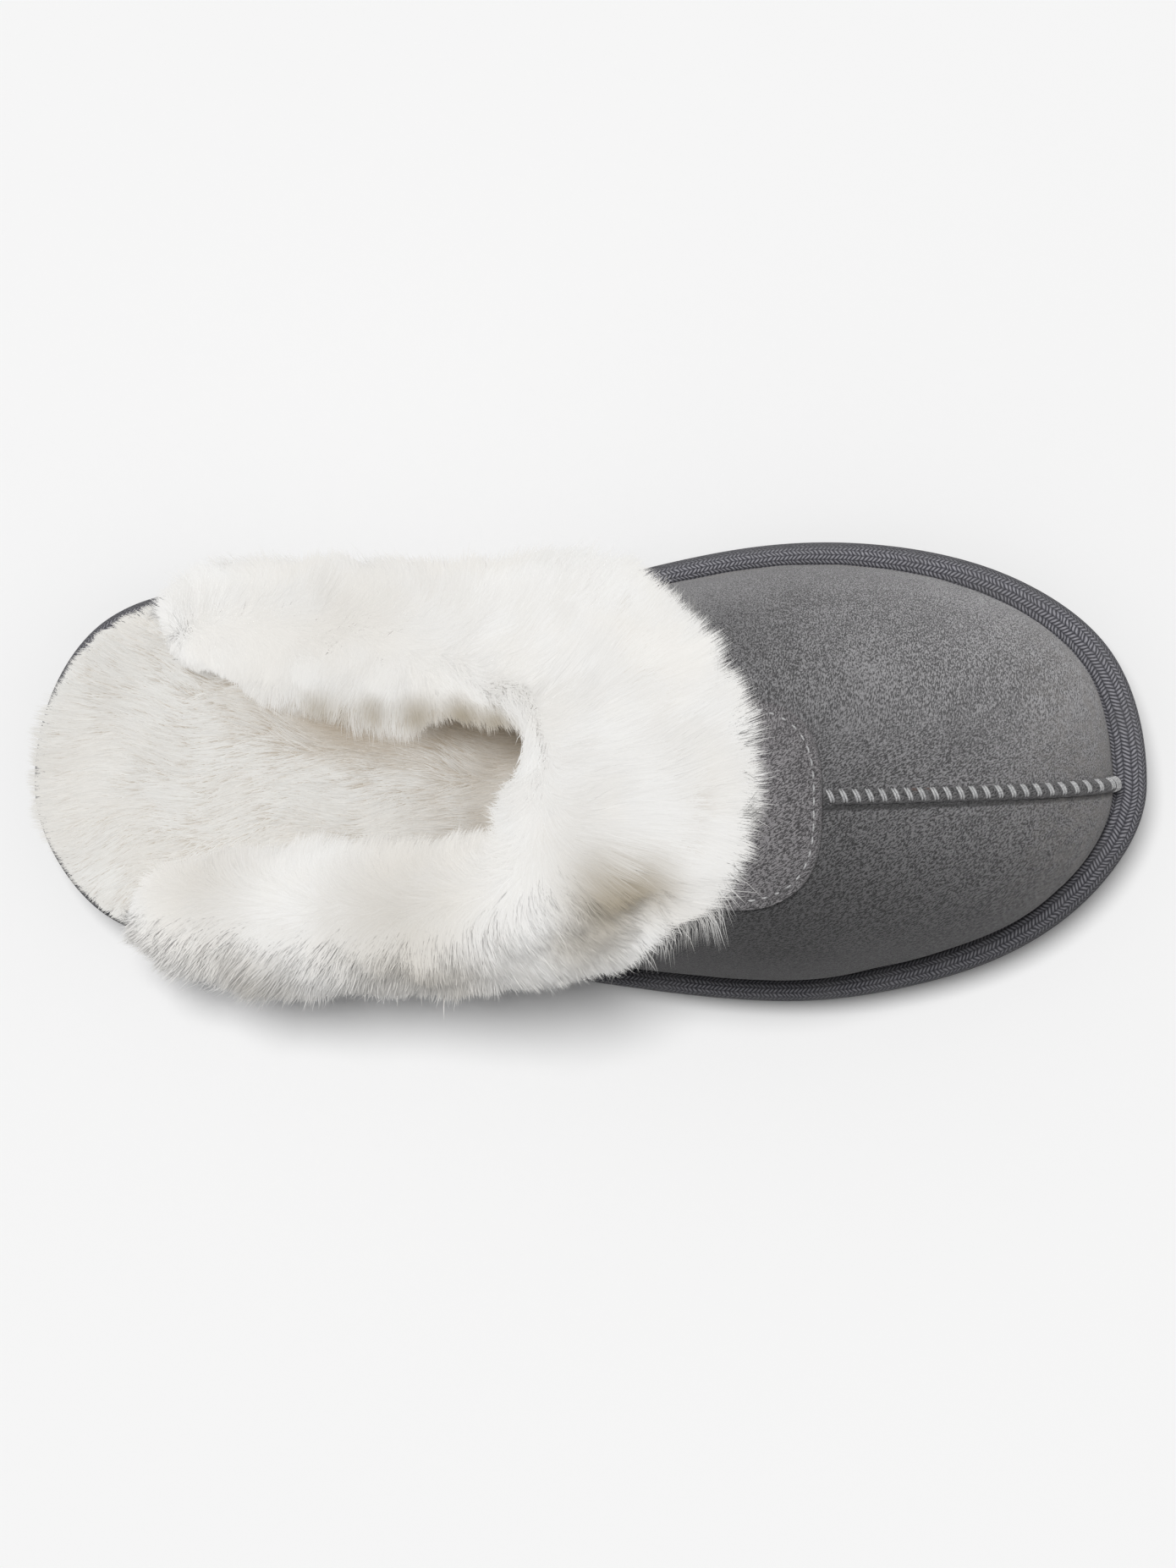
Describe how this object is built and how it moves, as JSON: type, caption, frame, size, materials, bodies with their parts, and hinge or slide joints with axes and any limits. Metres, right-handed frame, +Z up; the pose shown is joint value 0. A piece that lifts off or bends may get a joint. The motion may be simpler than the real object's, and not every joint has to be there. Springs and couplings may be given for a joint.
{
  "type": "fuzzy slipper",
  "caption": "Open-back house slipper for a right foot: suede vamp with an overcast centre seam and a deep fur cuff on a flat platform sole wrapped in woven tape.",
  "frame": {"origin": "on the floor, under the middle of the slipper's bounding box", "axes": "+X from heel to toe, +Y to the medial side, +Z up"},
  "size_m": [0.26, 0.1078, 0.0977],
  "materials": {
    "outsole_rubber": "matt dark grey moulded rubber",
    "woven_tape": "dark blue-grey herringbone tape",
    "footbed_fur": "ivory short-pile faux fur",
    "suede": "mid grey brushed suede with a directional nap",
    "patch_suede": "warm grey fine suede with a white stitched edge",
    "seam_suede": "grey suede ridge overcast in white thread",
    "cuff_fur": "white deep-pile faux fur"
  },
  "bodies": {
    "root": {"outsole": "outsole_rubber", "wrapped_midsole": "woven_tape", "insole": "footbed_fur", "upper": "suede", "throat_patch": "patch_suede", "centre_seam": "seam_suede", "fur_cuff": "cuff_fur"}
  },
  "joints": []
}
